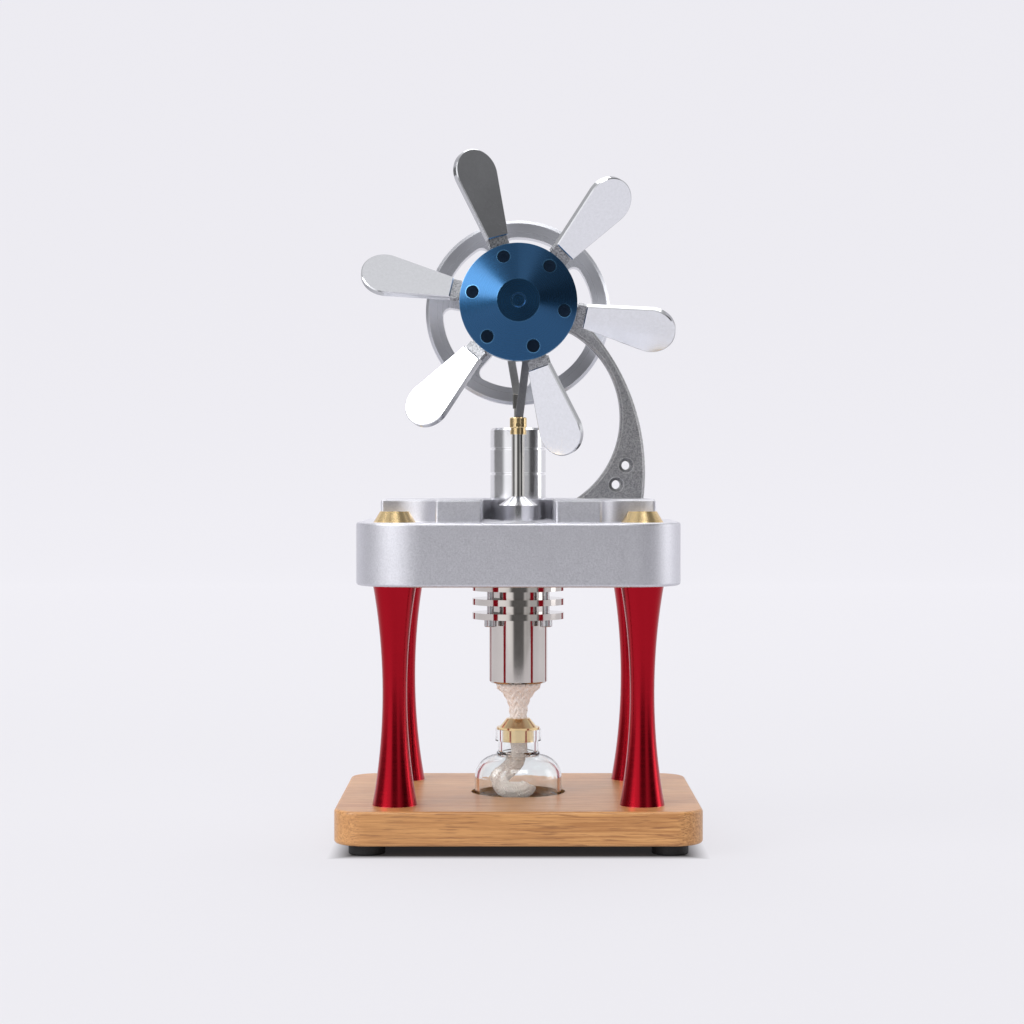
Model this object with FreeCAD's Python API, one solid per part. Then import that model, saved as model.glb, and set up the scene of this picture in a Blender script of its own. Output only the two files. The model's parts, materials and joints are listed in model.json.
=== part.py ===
"""Table-top Stirling engine with a fan, a flywheel and a spirit lamp. Millimetres.

+Z is up, -Y is the front, and the origin is on the floor under the middle of the board.
The displacer works in the hot cap on the Z axis, and the power cylinder stands behind it.
The crankshaft lies along Y above them: fan hub, front web, bearings, rear web, flywheel.
"""
import FreeCAD, Part
import math
import os

# ---- driving dimensions -------------------------------------------------------------
board_length, board_depth, board_thick = 130.0, 110.0, 12.2
board_corner_r, board_edge_r = 11.0, 1.2
foot_r, foot_height, foot_inset = 6.5, 4.0, 11.5
foot_screw_head_r, foot_screw_head_h, foot_edge_r, foot_slot = 2.8, 1.2, 0.6, 0.8
foot_screw_r, foot_screw_depth = 1.2, 8.0

post_x, post_y, post_height = 44.0, 36.5, 77.9
post_foot_r, post_waist_r, post_head_r = 8.0, 4.35, 7.65
stud_r, stud_depth = 2.0, 12.0
post_screw_head_r, post_screw_head_h = 3.8, 2.2

platform_length, platform_depth, platform_thick = 116.4, 101.0, 22.6
platform_corner_r, platform_edge_r = 23.5, 1.0
boss_length, boss_depth, boss_height = 99.4, 83.0, 8.0
boss_relief_r, boss_edge_r, boss_top_edge = 15.1, 1.0, 0.6
slot_r = 13.0
nut_base_r, nut_top_r, nut_height = 7.55, 5.2, 3.9
nut_socket_r, nut_socket_depth = 2.3, 1.6

crank_rise, crank_throw = 79.3, 7.0                       # rise above the platform's top face
displacer_crank_angle, power_crank_angle = -45.0, -135.0
displacer_rod_length, power_rod_length = 39.36, 29.47     # centre to centre of the conrods
power_y = 22.0                                            # power cylinder axis
crank_pin_r, big_eye_r, bush_wall, bush_length, washer_inset = 1.6, 4.2, 0.8, 5.2, 0.6
small_pin_r, small_eye_r = 0.9, 1.9
rod_width, rod_thick = 3.0, 2.6

chamber_r, chamber_end_gap, cap_wall, cap_floor = 10.2, 0.9, 0.6, 1.2
displacer_gap, displacer_length, displacer_wall = 0.8, 39.0, 0.6      # gap all round in the chamber
lid_thick, lid_lip = 3.0, 1.5
slide_rod_r, slide_rod_spigot_r = 2.45, 1.4
clevis_r, clevis_collar_r, clevis_edge = 3.4, 3.0, 0.35
clevis_below_pin, clevis_above_pin, clevis_collar_height = 3.5, 2.8, 2.4

flange_r, flange_thick, gasket_thick = 17.0, 2.3, 1.0
fin_count, fin_pitch, fin_thick = 2, 5.2, 2.3
flange_screw_r, flange_screw_pcd, flange_screw_grip = 1.25, 28.8, 8.0
cap_head_r, cap_head_h, cap_socket_r = 2.25, 2.5, 1.1
cap_edge, cap_seat_depth = 0.6, 1.2
head_edge, socket_share = 0.2, 0.45

gland_r, gland_height, gland_cone_height, gland_top_wall = 7.25, 5.6, 3.2, 0.5
gland_bush_wall, gland_spigot_wall, gland_spigot_depth, gland_roof = 1.55, 2.0, 4.0, 1.0

cylinder_r, cylinder_bore_r, cylinder_height, cylinder_edge = 10.5, 7.0, 34.6, 0.8
cylinder_spigot_wall, cylinder_spigot_depth = 1.5, 4.0
groove_width, groove_depth = 0.75, 0.45
groove_heights = (7.2, 17.3, 26.7)
transfer_r, transfer_drop = 1.5, 6.0
piston_length, piston_ring_groove, piston_ring_count = 14.0, 0.5, 3
piston_stem_r, piston_stem_depth, piston_end_gap = 1.6, 6.0, 5.2
fork_width, fork_below_pin, fork_above_pin, fork_ear = 4.0, 3.4, 2.2, 1.15
fork_edge, fork_top_edge = 0.4, 0.25

bracket_front, bracket_thick = 6.0, 10.0
bracket_foot_inner, bracket_foot_outer, bracket_boss_r = 21.8, 46.8, 10.6
bracket_inner_bulge, bracket_inner_bulge_rise = 37.6, 36.7    # a point on each long edge, above
bracket_outer_bulge, bracket_outer_bulge_rise = 47.1, 16.7    # the bracket's foot
bracket_crown_angle, bracket_crown_drop, bracket_edge = 68.5, 4.8, 0.9
bracket_screw_r, bracket_screw_grip, bracket_screw_edge = 1.5, 2.5, 6.0
bracket_head_r, bracket_head_h = 2.75, 3.0
plate_hole_r, plate_hole_sink_r, plate_hole_sink = 1.65, 2.8, 1.15
plate_hole_places = ((36.55, 5.2), (40.2, 12.4))          # X, and rise above the bracket's foot

shaft_r, bearing_r, bearing_width = 2.0, 5.0, 4.0
race_inner_r, race_outer_r, ball_r, ball_pitch_r, ball_count = 2.9, 4.1, 1.0, 3.5, 8
web_r, web_front_thick, web_rear_thick, web_edge = 11.0, 2.5, 2.7, 0.4

hub_rim_r, hub_nose_r, hub_cone_depth, hub_rim_thick = 21.3, 7.7, 9.0, 7.0
hub_rim_front, hub_dimple_r, hub_dimple_floor_r, hub_dimple_depth = 22.0, 2.6, 2.3, 0.5
carrier_disc_r, carrier_disc_thick, carrier_shoulder_r, carrier_shoulder = 20.0, 3.0, 16.0, 3.0
blade_count, blade_first_angle, blade_pitch_angle = 6, 108.4, 35.0
blade_tip_r, blade_root_r, blade_root_width, blade_tip_round_r = 58.0, 24.7, 9.3, 8.9
blade_thick, blade_edge, blade_stand_off = 2.6, 0.35, 3.4
neck_gap, tongue_inner_r, tongue_width, tongue_thick = 0.3, 13.6, 7.0, 1.7
blade_screw_circle_r, blade_recess_r, blade_screw_r = 16.9, 2.35, 1.1
blade_head_r, blade_head_h, blade_screw_depth, blade_seat_depth = 2.1, 1.4, 2.5, 3.6
hub_screw_r, hub_screw_length = 1.5, 12.0

wheel_r, wheel_bore_r, wheel_thick, wheel_edge, wheel_set_back = 35.5, 28.95, 10.0, 1.15, 11.0
wheel_hub_r, spoke_width, window_corner_r = 10.5, 6.9, 3.0
wheel_screw_r, wheel_head_r, wheel_head_h = 1.2, 2.2, 2.4

lamp_recess_gap, lamp_recess_depth = 1.3, 3.7
bottle_r, bottle_wall, bottle_straight, bottle_dome = 16.1, 1.5, 9.1, 8.2
bottle_foot_round = 1.2
bottle_bulge_out, bottle_bulge_up = 0.72, 0.70            # share of the dome's width and height
neck_r, neck_height, lip_r, lip_height = 7.45, 5.3, 8.45, 4.3
bead_out, bead_height = 0.55, 1.4
collar_plug_depth, collar_flange_r, collar_flange_h = 4.6, 8.0, 0.8
collar_cone_r, collar_cone_top_r, collar_cone_h = 6.9, 4.3, 3.2
wick_r, wick_flare_r, wick_bend_r, wick_tail = 3.1, 8.3, 4.4, 5.0
wick_swell, wick_swell_share, wick_edge_share, wick_edge = 0.5, 0.38, 0.85, 0.4

# ---- clearances ---------------------------------------------------------------------
running_gap = 0.03          # radial, sliding and turning fits
seat_gap = 0.05             # radial, parts that drop into a seat
screw_gap = 0.15            # radial, screw through a plain hole
side_gap = 0.1              # along a pin, between an eye and the fork round it
face_gap = 0.4              # along the shaft, between parts that turn past each other
pin_end_gap = 0.15          # open crank pin to the web beside it
wick_gap = 0.3              # wick top to hot cap
recess_gap = 0.3            # above and below a screw head in its recess
tip_gap = 0.3               # screw tip to the bottom of its hole

# ---- fits and places worked out from them -------------------------------------------
displacer_r = chamber_r - displacer_gap
gland_bush_r = slide_rod_r + gland_bush_wall
gland_spigot_r = gland_bush_r + gland_spigot_wall
gland_top_r = slide_rod_r + gland_top_wall
cylinder_spigot_r = cylinder_bore_r + cylinder_spigot_wall
lamp_recess_r = bottle_r + lamp_recess_gap
collar_plug_r = neck_r - bottle_wall - 2 * seat_gap

board_low = foot_height
board_top = board_low + board_thick
platform_low = board_top + post_height
platform_top = platform_low + platform_thick
boss_top = platform_top + boss_height
crank_height = platform_top + crank_rise
flange_low = platform_low - gasket_thick - flange_thick
fins_low = flange_low + flange_thick - fin_thick - fin_count * fin_pitch

V = FreeCAD.Vector
UP, BACK = V(0, 0, 1), V(0, 1, 0)
TINY = 1e-6


def crank_pin_place(angle):
    """X and Z of a crank pin at a crank angle, measured from +X towards +Z."""
    a = math.radians(angle)
    return crank_throw * math.cos(a), crank_height + crank_throw * math.sin(a)


displacer_pin_x, displacer_pin_z = crank_pin_place(displacer_crank_angle)
power_pin_x, power_pin_z = crank_pin_place(power_crank_angle)
clevis_pin_z = displacer_pin_z - math.sqrt(displacer_rod_length ** 2 - displacer_pin_x ** 2)
wrist_pin_z = power_pin_z - math.sqrt(power_rod_length ** 2 - power_pin_x ** 2)
displacer_rise = crank_height - crank_throw - displacer_rod_length - clevis_pin_z
power_rise = crank_height - crank_throw - power_rod_length - wrist_pin_z

chamber_top = platform_top - gland_spigot_depth
chamber_low = chamber_top - displacer_length - 2 * crank_throw - 2 * chamber_end_gap
cap_low = chamber_low - cap_floor
displacer_low = chamber_low + chamber_end_gap - displacer_rise
displacer_top = displacer_low + displacer_length
clevis_low = clevis_pin_z - clevis_below_pin
clevis_slot_floor = clevis_pin_z - small_eye_r - side_gap
cylinder_top = platform_top + cylinder_height
piston_low = platform_top + piston_end_gap - power_rise
piston_top = piston_low + piston_length
fork_low = wrist_pin_z - fork_below_pin

bracket_back = bracket_front + bracket_thick
web_front_back = bracket_front - face_gap
web_front_front = web_front_back - web_front_thick
rear_web_front = bracket_back + face_gap
rear_web_back = rear_web_front + web_rear_thick
hub_back = -bush_length / 2 - face_gap
wheel_front = power_y + bush_length / 2 + face_gap
rim_front = wheel_front + wheel_set_back
rim_back = rim_front + wheel_thick
carrier_front = -(hub_rim_front - hub_rim_thick)
blade_plane = carrier_front - blade_stand_off
blade_seat = blade_plane - blade_seat_depth
nose_front = -(hub_rim_front + hub_cone_depth)

lamp_low = board_top - lamp_recess_depth
shoulder_z = lamp_low + bottle_straight
neck_low = shoulder_z + bottle_dome
lip_low = neck_low + neck_height
lip_top = lip_low + lip_height
collar_top = lip_top + collar_flange_h + collar_cone_h
wick_top = cap_low - wick_gap


# ---- helpers ------------------------------------------------------------------------
def rod_z(radius, low, high, x=0.0, y=0.0):
    return Part.makeCylinder(radius, high - low, V(x, y, low), UP)


def rod_y(radius, front, back, x=0.0, z=crank_height):
    return Part.makeCylinder(radius, back - front, V(x, front, z), BACK)


def ring_z(outer, inner, low, high, x=0.0, y=0.0):
    return rod_z(outer, low, high, x, y).cut(rod_z(inner, low - 1, high + 1, x, y))


def ring_y(outer, inner, front, back, x=0.0, z=crank_height):
    return rod_y(outer, front, back, x, z).cut(rod_y(inner, front - 1, back + 1, x, z))


def cone_z(low_r, high_r, low, high, x=0.0, y=0.0):
    return Part.makeCone(low_r, high_r, high - low, V(x, y, low), UP)


def cone_y(front_r, back_r, front, back, x=0.0, z=crank_height):
    return Part.makeCone(front_r, back_r, back - front, V(x, front, z), BACK)


def block(x0, x1, y0, y1, z0, z1):
    return Part.makeBox(x1 - x0, y1 - y0, z1 - z0, V(x0, y0, z0))


def centred_block(length, depth, low, high):
    return block(-length / 2, length / 2, -depth / 2, depth / 2, low, high)


def edges_along(shape, direction):
    """Straight edges that run along a direction."""
    found = []
    for edge in shape.Edges:
        if isinstance(edge.Curve, Part.Line) and edge.Curve.Direction.cross(direction).Length < TINY:
            found.append(edge)
    return found


def edges_at(shape, axis, value):
    """Edges that lie in the plane where x, y or z (axis 0, 1, 2) has a value."""
    found = []
    for edge in shape.Edges:
        box = edge.BoundBox
        low = (box.XMin, box.YMin, box.ZMin)[axis]
        high = (box.XMax, box.YMax, box.ZMax)[axis]
        if abs(low - value) < 1e-3 and abs(high - value) < 1e-3:
            found.append(edge)
    return found


def rounded_plate(length, depth, low, high, corner_r, edge_r):
    """Plate with round corners and a small round on its top and bottom edges."""
    plate = centred_block(length, depth, low, high)
    plate = plate.makeFillet(corner_r, edges_along(plate, UP))
    return plate.makeFillet(edge_r, edges_at(plate, 2, low) + edges_at(plate, 2, high))


def turned(edges):
    """Solid of revolution about Z from edges in the XZ plane."""
    return Part.Face(Part.Wire(edges)).revolve(V(0, 0, 0), UP, 360)


def line(p, q):
    return Part.LineSegment(V(p[0], 0, p[1]), V(q[0], 0, q[1])).toShape()


def arc(p, mid, q):
    return Part.Arc(V(p[0], 0, p[1]), V(mid[0], 0, mid[1]), V(q[0], 0, q[1])).toShape()


def outline(points):
    """Closed chain of straight edges through points in the XZ plane."""
    return [line(points[i], points[(i + 1) % len(points)]) for i in range(len(points))]


def spun(shape, angle):
    """Turned about the crank axis, from +X towards +Z."""
    copy = shape.copy()
    copy.rotate(V(0, 0, crank_height), BACK, -angle)
    return copy


def four_corners(x, y):
    return [(sx * x, sy * y) for sx in (-1, 1) for sy in (-1, 1)]


def group(shapes):
    return Part.makeCompound(shapes)


def cap_screw(shank_r, head_r, head_h, socket_r, length):
    """Socket cap screw standing on its head: head at Z 0 upwards, shank above it."""
    head = rod_z(head_r, 0, head_h)
    head = head.makeChamfer(head_edge, edges_at(head, 2, 0))
    socket = Part.Face(Part.makePolygon(
        [V(socket_r * math.cos(math.radians(60 * k)), socket_r * math.sin(math.radians(60 * k)), 0)
         for k in range(7)])).extrude(V(0, 0, head_h / 2))
    return head.fuse(rod_z(shank_r, head_h, head_h + length)).removeSplitter().cut(socket)


def placed(shape, x, y, z):
    copy = shape.copy()
    copy.translate(V(x, y, z))
    return copy


# ---- stand --------------------------------------------------------------------------
foot_x = board_length / 2 - foot_inset
foot_y = board_depth / 2 - foot_inset
foot_places = four_corners(foot_x, foot_y)
post_places = four_corners(post_x, post_y)


def base_board():
    board = rounded_plate(board_length, board_depth, board_low, board_top, board_corner_r, board_edge_r)
    cuts = [rod_z(lamp_recess_r, lamp_low, board_top + 1)]
    for x, y in post_places:
        cuts.append(rod_z(stud_r + screw_gap, board_low - 1, board_top + 1, x, y))
        cuts.append(rod_z(post_screw_head_r + seat_gap, board_low - 1,
                          board_low + recess_gap + post_screw_head_h, x, y))
    for x, y in foot_places:
        cuts.append(rod_z(foot_screw_r, board_low - 1, board_low + foot_screw_depth, x, y))
    return board.cut(cuts)


def rubber_foot(x, y):
    foot = rod_z(foot_r, 0, foot_height, x, y)
    foot = foot.makeFillet(foot_edge_r, edges_at(foot, 2, 0))
    recess = rod_z(foot_screw_head_r + seat_gap, -1, foot_height - foot_screw_head_h, x, y)
    return foot.cut([recess, rod_z(foot_screw_r + seat_gap, -1, foot_height + 1, x, y)])


def foot_screw(x, y):
    seat = foot_height - foot_screw_head_h
    head = rod_z(foot_screw_head_r, seat - foot_screw_head_h, seat, x, y)
    slot = block(x - foot_screw_head_r, x + foot_screw_head_r, y - foot_slot / 2, y + foot_slot / 2,
                 seat - foot_screw_head_h - 1, seat - foot_screw_head_h / 2)
    return head.cut(slot).fuse(rod_z(foot_screw_r, seat, board_low + foot_screw_depth - tip_gap, x, y))


def post(x, y):
    """Waisted turned post with a threaded hole in each end."""
    low, high, middle = board_top, platform_low, (board_top + platform_low) / 2
    side = arc((post_foot_r, low), (post_waist_r, middle), (post_head_r, high))
    body = turned([line((0, low), (post_foot_r, low)), side,
                   line((post_head_r, high), (0, high)), line((0, high), (0, low))])
    body.translate(V(x, y, 0))
    return body.cut([rod_z(stud_r, low - 1, low + stud_depth, x, y),
                     rod_z(stud_r, high - stud_depth, high + 1, x, y)])


def post_screw(x, y):
    low = board_low + recess_gap
    seat = low + post_screw_head_h
    head = rod_z(post_screw_head_r, low, seat, x, y)
    socket = rod_z(post_screw_head_r * socket_share, low - 1, low + post_screw_head_h / 2, x, y)
    shank = rod_z(stud_r, seat, board_top + stud_depth - tip_gap, x, y)
    return head.cut(socket).fuse(shank).removeSplitter()


def post_stud(x, y):
    return rod_z(stud_r, platform_low - stud_depth + tip_gap,
                 platform_top + nut_height - nut_socket_depth, x, y)


def cone_nut(x, y):
    nut = cone_z(nut_base_r, nut_top_r, platform_top, platform_top + nut_height, x, y)
    socket = rod_z(nut_socket_r, platform_top + nut_height - nut_socket_depth,
                   platform_top + nut_height + 1, x, y)
    return nut.cut([rod_z(stud_r, platform_top - 1, platform_top + nut_height, x, y), socket])


# ---- platform -----------------------------------------------------------------------
bracket_screw_places = [(bracket_foot_inner + bracket_screw_edge, (bracket_front + bracket_back) / 2),
                        (bracket_foot_outer - bracket_screw_edge, (bracket_front + bracket_back) / 2)]
flange_screw_places = [(math.cos(math.radians(45 + 90 * k)) * flange_screw_pcd / 2,
                        math.sin(math.radians(45 + 90 * k)) * flange_screw_pcd / 2) for k in range(4)]


def platform_boss():
    """Raised cross with a relief round each nut and a slot open to the front."""
    boss = centred_block(boss_length, boss_depth, platform_top - 1, boss_top)
    reliefs = [rod_z(boss_relief_r, platform_top - 2, boss_top + 1, x, y) for x, y in post_places]
    slot = block(-slot_r, slot_r, -boss_depth, power_y, platform_top - 2, boss_top + 1)
    slot = slot.fuse(rod_z(slot_r, platform_top - 2, boss_top + 1, 0, power_y)).removeSplitter()
    boss = boss.cut(reliefs + [slot])
    sharp = [e for e in edges_along(boss, UP)
             if not (abs(e.BoundBox.Center.y - power_y) < 0.01 and abs(e.BoundBox.Center.x) < slot_r + 1)]
    boss = boss.makeFillet(boss_edge_r, sharp)
    return boss.makeChamfer(boss_top_edge, edges_at(boss, 2, boss_top))


def platform():
    body = rounded_plate(platform_length, platform_depth, platform_low, platform_top,
                         platform_corner_r, platform_edge_r)
    body = body.fuse(platform_boss()).removeSplitter()
    cuts = [rod_z(chamber_r, platform_low - 1, chamber_top),
            rod_z(gland_spigot_r, chamber_top - 1, platform_top + 1),
            rod_z(cylinder_spigot_r + seat_gap, platform_top - cylinder_spigot_depth,
                  platform_top + 1, 0, power_y),
            rod_z(transfer_r, chamber_top - transfer_drop, platform_top, 0, power_y),
            Part.makeCylinder(transfer_r, power_y, V(0, 0, chamber_top - transfer_drop), BACK)]
    for x, y in post_places:
        cuts.append(rod_z(stud_r + screw_gap, platform_low - 1, platform_top + 1, x, y))
    for x, y in bracket_screw_places:
        cuts.append(rod_z(bracket_screw_r + screw_gap, platform_low - 1, boss_top + 1, x, y))
        cuts.append(rod_z(bracket_head_r + screw_gap, platform_low - 1,
                          platform_low + bracket_head_h + recess_gap, x, y))
    for x, y in flange_screw_places:
        cuts.append(rod_z(flange_screw_r, platform_low - 1,
                          platform_low + flange_screw_grip, x, y))
    return body.cut(cuts)


# ---- hot side -----------------------------------------------------------------------
def flange_gasket():
    holes = [rod_z(flange_screw_r + screw_gap, platform_low - 5, platform_low + 1, x, y)
             for x, y in flange_screw_places]
    return ring_z(flange_r, chamber_r, platform_low - gasket_thick, platform_low).cut(holes)


def cooling_flange():
    """Flange and round fins turned on one neck, with a seat for the cap in the lowest fin."""
    high = platform_low - gasket_thick
    body = rod_z(chamber_r + cap_wall, fins_low, high)
    body = body.fuse(rod_z(flange_r, flange_low, high))
    for k in range(1, fin_count + 1):
        body = body.fuse(rod_z(flange_r, high - fin_thick - k * fin_pitch, high - k * fin_pitch))
    body = body.removeSplitter()
    cuts = [rod_z(chamber_r, fins_low - 1, high + 1),
            rod_z(chamber_r + cap_wall, fins_low - 1, fins_low + cap_seat_depth)]
    cuts += [rod_z(flange_screw_r + screw_gap, fins_low - 1, high + 1, x, y)
             for x, y in flange_screw_places]
    return body.cut(cuts)


def hot_cap():
    top = fins_low + cap_seat_depth
    body = rod_z(chamber_r + cap_wall, cap_low, top)
    body = body.makeChamfer(cap_edge, edges_at(body, 2, cap_low))
    return body.cut(rod_z(chamber_r, chamber_low, top + 1))


def flange_screw(x, y):
    reach = platform_low + flange_screw_grip - tip_gap
    screw = cap_screw(flange_screw_r, cap_head_r, cap_head_h, cap_socket_r, reach - fins_low)
    return placed(screw, x, y, fins_low - cap_head_h)


# ---- displacer ----------------------------------------------------------------------
def displacer_can():
    body = rod_z(displacer_r, displacer_low, displacer_top - lid_thick)
    inside = rod_z(displacer_r - displacer_wall, displacer_low + displacer_wall, displacer_top)
    return body.cut(inside)


def displacer_lid():
    low = displacer_top - lid_thick
    lid = rod_z(displacer_r, low, displacer_top).fuse(
        rod_z(displacer_r - displacer_wall, low - lid_lip, low)).removeSplitter()
    return lid.cut(rod_z(slide_rod_r, low - lid_thick, displacer_top + 1))


def displacer_rod():
    low = displacer_top - lid_thick - lid_lip
    spigot = rod_z(slide_rod_spigot_r, clevis_low, clevis_slot_floor)
    return rod_z(slide_rod_r, low, clevis_low).fuse(spigot).removeSplitter()


def displacer_clevis():
    """Turned clevis: a slotted head over a slimmer collar that holds the end of the slide rod."""
    waist, top = clevis_low + clevis_collar_height, clevis_pin_z + clevis_above_pin
    head = rod_z(clevis_r, waist, top)
    head = head.makeChamfer(clevis_edge, edges_at(head, 2, waist) + edges_at(head, 2, top))
    body = head.fuse(rod_z(clevis_collar_r, clevis_low, waist)).removeSplitter()
    half = rod_thick / 2 + side_gap
    slot = block(-clevis_r, clevis_r, -half, half, clevis_slot_floor, top + 1)
    return body.cut([slot, rod_y(small_pin_r, -clevis_r, clevis_r, 0, clevis_pin_z),
                     rod_z(slide_rod_spigot_r, clevis_low - 1, clevis_pin_z)])


def clevis_pin():
    half = math.sqrt(clevis_r ** 2 - small_pin_r ** 2)
    return rod_y(small_pin_r, -half, half, 0, clevis_pin_z)


def gland():
    top = platform_top + gland_height
    body = rod_z(gland_r, platform_top, top)
    body = body.fuse(cone_z(gland_r, gland_top_r, top, top + gland_cone_height))
    body = body.fuse(rod_z(gland_spigot_r, chamber_top, platform_top)).removeSplitter()
    return body.cut([rod_z(slide_rod_r + 2 * running_gap, chamber_top - 1, boss_top + gland_height),
                     rod_z(gland_bush_r, chamber_top - 1, top - gland_roof)])


def gland_bush():
    return ring_z(gland_bush_r, slide_rod_r + running_gap, chamber_top,
                  platform_top + gland_height - gland_roof)


# ---- power cylinder -----------------------------------------------------------------
def power_cylinder():
    body = rod_z(cylinder_r, platform_top, cylinder_top, 0, power_y)
    body = body.makeChamfer(cylinder_edge, edges_at(body, 2, cylinder_top))
    body = body.fuse(rod_z(cylinder_spigot_r, platform_top - cylinder_spigot_depth,
                           platform_top, 0, power_y)).removeSplitter()
    cuts = [ring_z(cylinder_r + 1, cylinder_r - groove_depth, platform_top + height - groove_width / 2,
                   platform_top + height + groove_width / 2, 0, power_y) for height in groove_heights]
    cuts.append(rod_z(cylinder_bore_r, platform_top - cylinder_spigot_depth - 1,
                      cylinder_top + 1, 0, power_y))
    return body.cut(cuts)


def power_piston():
    body = rod_z(cylinder_bore_r - running_gap, piston_low, piston_top, 0, power_y)
    step = piston_length / (piston_ring_count + 1)
    rings = [ring_z(cylinder_r, cylinder_bore_r - piston_ring_groove, piston_low + k * step,
                    piston_low + k * step + groove_width, 0, power_y)
             for k in range(1, piston_ring_count + 1)]
    return body.cut(rings + [rod_z(piston_stem_r, piston_top - piston_stem_depth,
                                  piston_top + 1, 0, power_y)])


def piston_fork():
    """Stem in the piston with a slotted block on top that takes the small eye and its pin."""
    half, top = rod_thick / 2 + side_gap, wrist_pin_z + fork_above_pin
    body = block(-fork_width / 2, fork_width / 2, power_y - half - fork_ear, power_y + half + fork_ear,
                 fork_low, top)
    body = body.makeChamfer(fork_edge, edges_along(body, UP))
    body = body.makeChamfer(fork_top_edge, edges_at(body, 2, top))
    slot = block(-fork_width, fork_width, power_y - half, power_y + half,
                 wrist_pin_z - small_eye_r - side_gap, top + 1)
    body = body.cut([slot, rod_y(small_pin_r, power_y - fork_width, power_y + fork_width, 0, wrist_pin_z)])
    return body.fuse(rod_z(piston_stem_r, piston_top - piston_stem_depth,
                           fork_low, 0, power_y)).removeSplitter()


def wrist_pin():
    half = rod_thick / 2 + side_gap + fork_ear
    return rod_y(small_pin_r, power_y - half, power_y + half, 0, wrist_pin_z)


# ---- conrods ------------------------------------------------------------------------
def conrod(small_z, big_x, big_z, y):
    """Flat bar with an eye at each end: the small one on X 0, the big one on a crank pin."""
    front, back = y - rod_thick / 2, y + rod_thick / 2
    length = math.hypot(big_x, big_z - small_z)
    bar = block(-rod_width / 2, rod_width / 2, front, back, small_z, small_z + length)
    bar = bar.fuse([rod_y(small_eye_r, front, back, 0, small_z),
                    rod_y(big_eye_r, front, back, 0, small_z + length)]).removeSplitter()
    bar = bar.cut([rod_y(small_pin_r + running_gap, front - 1, back + 1, 0, small_z),
                   rod_y(crank_pin_r + bush_wall, front - 1, back + 1, 0, small_z + length)])
    bar.rotate(V(0, 0, small_z), BACK, math.degrees(math.atan2(big_x, big_z - small_z)))
    return bar


def rod_bush(x, z, y):
    """Flanged bush: a thin sleeve in the eye with a washer face each side."""
    front, back = y - bush_length / 2, y + bush_length / 2
    sleeve = rod_y(crank_pin_r + bush_wall, front, back, x, z)
    washer_r = big_eye_r - washer_inset
    washers = [rod_y(washer_r, front, y - rod_thick / 2, x, z),
               rod_y(washer_r, y + rod_thick / 2, back, x, z)]
    return sleeve.fuse(washers).removeSplitter().cut(rod_y(crank_pin_r, front - 1, back + 1, x, z))


# ---- bearing bracket ----------------------------------------------------------------
def bracket_arm():
    """Crescent arm from its foot on the boss up to the bearing eye, as a face in the XZ plane."""
    lean = math.radians(bracket_crown_angle)
    centre = (0, crank_height)
    crown_inner = (0, crank_height - bracket_crown_drop)
    crown_outer = (bracket_boss_r * math.cos(lean), crank_height + bracket_boss_r * math.sin(lean))
    inner_foot, outer_foot = (bracket_foot_inner, boss_top), (bracket_foot_outer, boss_top)
    edges = [line(inner_foot, outer_foot),
             arc(outer_foot, (bracket_outer_bulge, boss_top + bracket_outer_bulge_rise), crown_outer),
             line(crown_outer, centre), line(centre, crown_inner),
             arc(crown_inner, (bracket_inner_bulge, boss_top + bracket_inner_bulge_rise), inner_foot)]
    return Part.Face(Part.Wire(edges))


def bearing_bracket():
    arm = bracket_arm()
    arm.translate(V(0, bracket_front, 0))
    body = arm.extrude(V(0, bracket_thick, 0))
    eye = rod_y(bracket_boss_r, bracket_front, bracket_back)
    for face in (bracket_front, bracket_back):
        curved = [e for e in edges_at(body, 1, face) if isinstance(e.Curve, Part.Circle)]
        body = body.makeChamfer(bracket_edge, curved)
        eye = eye.makeChamfer(bracket_edge, edges_at(eye, 1, face))
    body = body.fuse(eye).removeSplitter()
    cuts = [rod_y(bearing_r, bracket_front - 1, bracket_back + 1)]
    for x, rise in plate_hole_places:
        cuts.append(rod_y(plate_hole_r, bracket_front - 1, bracket_back + 1, x, boss_top + rise))
        cuts.append(cone_y(plate_hole_sink_r, plate_hole_r, bracket_front,
                           bracket_front + plate_hole_sink, x, boss_top + rise))
    for x, y in bracket_screw_places:
        cuts.append(rod_z(bracket_screw_r, boss_top - 1, boss_top + bracket_screw_grip, x, y))
    return body.cut(cuts)


def bracket_screw(x, y):
    seat = platform_low + bracket_head_h
    reach = boss_top + bracket_screw_grip - tip_gap
    screw = cap_screw(bracket_screw_r, bracket_head_r, bracket_head_h, cap_socket_r, reach - seat)
    return placed(screw, x, y, platform_low + recess_gap).common(
        rod_z(bracket_head_r * 2, platform_low, reach, x, y))


def race_groove(front):
    middle = V(0, front + bearing_width / 2, crank_height)
    return Part.makeTorus(ball_pitch_r, ball_r + seat_gap, middle, BACK)


def outer_race(front):
    return ring_y(bearing_r, race_outer_r, front, front + bearing_width).cut(race_groove(front))


def inner_race(front):
    return ring_y(race_inner_r, shaft_r, front, front + bearing_width).cut(race_groove(front))


def race_balls(front):
    middle = front + bearing_width / 2
    return group([spun(Part.makeSphere(ball_r, V(ball_pitch_r, middle, crank_height)),
                       360.0 / ball_count * k) for k in range(ball_count)])


# ---- crankshaft and fan -------------------------------------------------------------
def crank_web(front, back):
    disc = ring_y(web_r, shaft_r, front, back)
    return disc.makeChamfer(web_edge, [e for e in edges_at(disc, 1, front) + edges_at(disc, 1, back)
                                  if e.BoundBox.XLength > web_r])


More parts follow.
